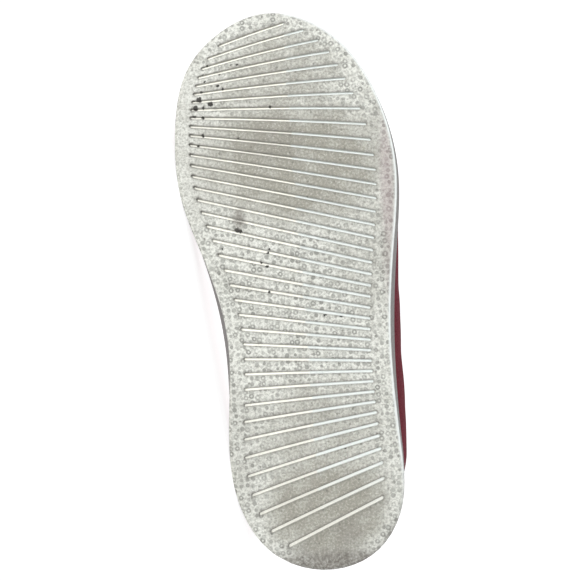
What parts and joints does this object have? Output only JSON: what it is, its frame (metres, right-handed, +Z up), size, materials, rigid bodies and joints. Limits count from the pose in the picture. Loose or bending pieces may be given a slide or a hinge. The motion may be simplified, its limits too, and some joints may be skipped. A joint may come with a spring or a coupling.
{
  "type": "slip-on shoe",
  "caption": "Left slip-on shoe on its side: hollow red felt upper with an open collar, loose insole and a pale moulded foam sole with a fan of fine grooves.",
  "frame": {"origin": "centre of the bounding box's lower face, on the floor that the shoe lies on", "axes": "the shoe lies on its inner side: +X towards the heel, +Y from the tread towards the collar, +Z up, towards the shoe's outer side"},
  "size_m": [0.2716, 0.0818, 0.1064],
  "materials": {
    "sole_foam": "moulded off-white foam, worn matt",
    "upper_felt": "dark red wool felt",
    "insole_cloth": "grey-brown cloth on foam"
  },
  "bodies": {
    "root": {"sole": "sole_foam", "upper": "upper_felt", "insole": "insole_cloth"}
  },
  "joints": []
}
